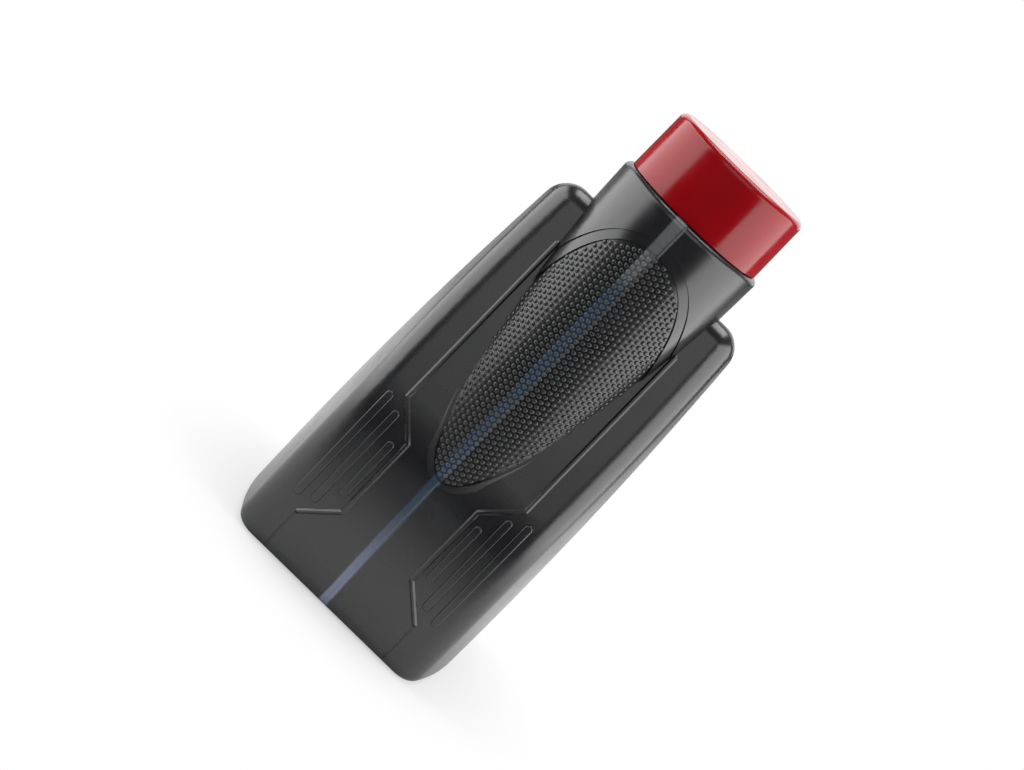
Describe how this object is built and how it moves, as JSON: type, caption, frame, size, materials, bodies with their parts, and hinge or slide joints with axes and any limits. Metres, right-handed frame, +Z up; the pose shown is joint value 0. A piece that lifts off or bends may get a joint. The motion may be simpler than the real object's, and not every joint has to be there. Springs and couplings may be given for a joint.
{
  "type": "motor oil bottle",
  "caption": "Upright one-litre bottle with a round grip column, a dotted oval grip panel, a level strip and a screw cap.",
  "frame": {"origin": "middle of the bottle's footprint, on the floor", "axes": "+Z up along the neck, -Y towards the grip side, +X to the right of someone who faces the grip"},
  "size_m": [0.0888, 0.102, 0.1866],
  "materials": {
    "bottle_plastic": "satin blow-moulded polyethylene, near black, with a see-through level strip",
    "cap_plastic": "smooth glossy red polypropylene",
    "liner_foam": "white foamed polyethylene wad"
  },
  "bodies": {
    "bottle": {"bottle": "bottle_plastic"},
    "liner": {"cap_liner": "liner_foam"},
    "cap": {"cap": "cap_plastic"}
  },
  "joints": [
    {"name": "cap_rise", "type": "slide", "parent": "bottle", "child": "liner", "axis": [0, 0, 1], "range_m": [0, 0.02]},
    {"name": "cap_turn", "type": "hinge", "parent": "liner", "child": "cap", "pos_m": [0, -0.0235, 0.1645], "axis": [0, 0, 1], "range_deg": [0, 1805]}
  ],
  "couplings": [
    {"joint": "cap_turn", "follows": "cap_rise", "rad_per_m": 1570.8}
  ]
}
